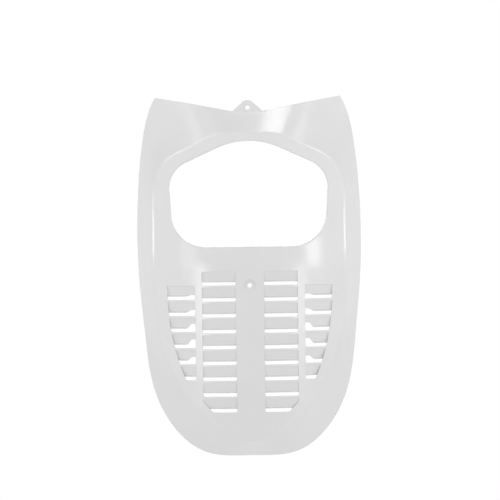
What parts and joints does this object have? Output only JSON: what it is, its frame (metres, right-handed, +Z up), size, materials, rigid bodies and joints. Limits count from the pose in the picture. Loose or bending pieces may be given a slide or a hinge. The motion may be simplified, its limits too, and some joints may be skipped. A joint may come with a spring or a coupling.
{
  "type": "scooter leg shield",
  "caption": "One-piece moulded white front leg shield for a scooter: headlamp opening, louvred grille beside a plain spine, a creased skirt and fixing holes in spine and top tab.",
  "frame": {"origin": "middle of the seat that the screw in the spine pulls against", "axes": "+Z up along the height, -Y out of the front face and along the spine screw towards its head, +X to the right of a viewer who faces the front"},
  "size_m": [0.3262, 0.1293, 0.5222],
  "materials": {
    "white_abs": "gloss white injection-moulded ABS"
  },
  "bodies": {
    "root": {"leg_shield": "white_abs"}
  },
  "joints": []
}
